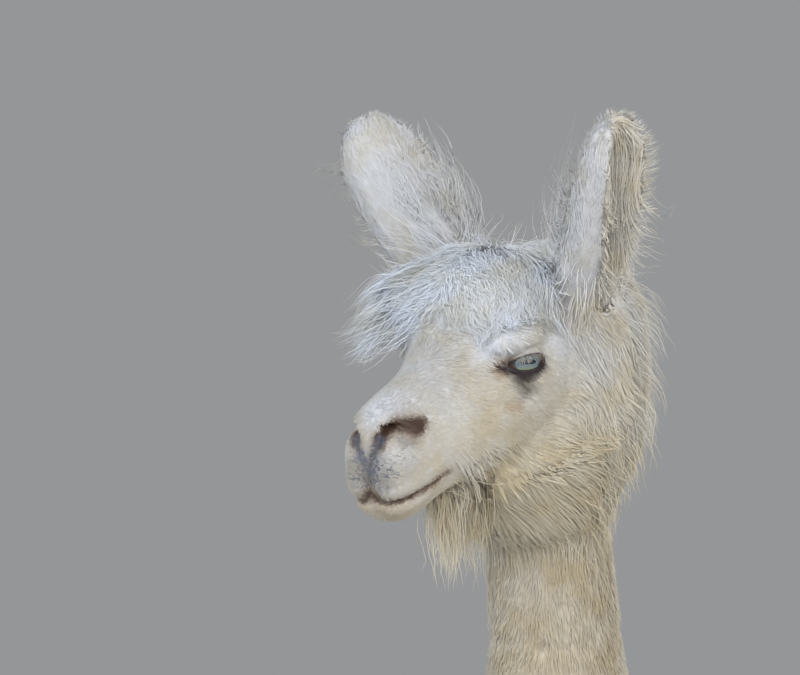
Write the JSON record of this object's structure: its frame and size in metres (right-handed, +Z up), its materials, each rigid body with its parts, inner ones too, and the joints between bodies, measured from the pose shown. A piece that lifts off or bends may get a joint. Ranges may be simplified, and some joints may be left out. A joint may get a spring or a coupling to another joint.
{
  "type": "llama",
  "caption": "Still, life-size llama standing square on its feet with its head turned a little to its right, white coat, long cheek wool and clipped neck.",
  "frame": {"origin": "on the floor, under the middle of the animal's bounding box", "axes": "+Z up, -Y the way the body faces, +X the animal's left side"},
  "size_m": [0.431, 1.3878, 1.8128],
  "materials": {
    "face_coat": "short dense white hair",
    "ear_coat": "short white hair with longer fringes",
    "long_wool": "long soft white locks",
    "body_coat": "clipped cream-white wool",
    "eye": "wet pale blue eye",
    "nail": "worn dark horn"
  },
  "bodies": {
    "root": {"head": "face_coat", "lower_jaw": "face_coat", "ear_left": "ear_coat", "ear_right": "ear_coat", "eye_left": "eye", "eye_right": "eye", "forelock": "long_wool", "beard": "long_wool", "neck_ruff": "long_wool", "tail": "long_wool", "neck": "body_coat", "trunk": "body_coat", "foreleg_upper_left": "body_coat", "foreleg_upper_right": "body_coat", "foreleg_lower_left": "body_coat", "foreleg_lower_right": "body_coat", "forefoot_left": "body_coat", "forefoot_right": "body_coat", "hindleg_upper_left": "body_coat", "hindleg_upper_right": "body_coat", "hindleg_lower_left": "body_coat", "hindleg_lower_right": "body_coat", "hindfoot_left": "body_coat", "hindfoot_right": "body_coat", "nail_fore_left_outer": "nail", "nail_fore_left_inner": "nail", "nail_fore_right_outer": "nail", "nail_fore_right_inner": "nail", "nail_hind_left_outer": "nail", "nail_hind_left_inner": "nail", "nail_hind_right_outer": "nail", "nail_hind_right_inner": "nail"}
  },
  "joints": []
}
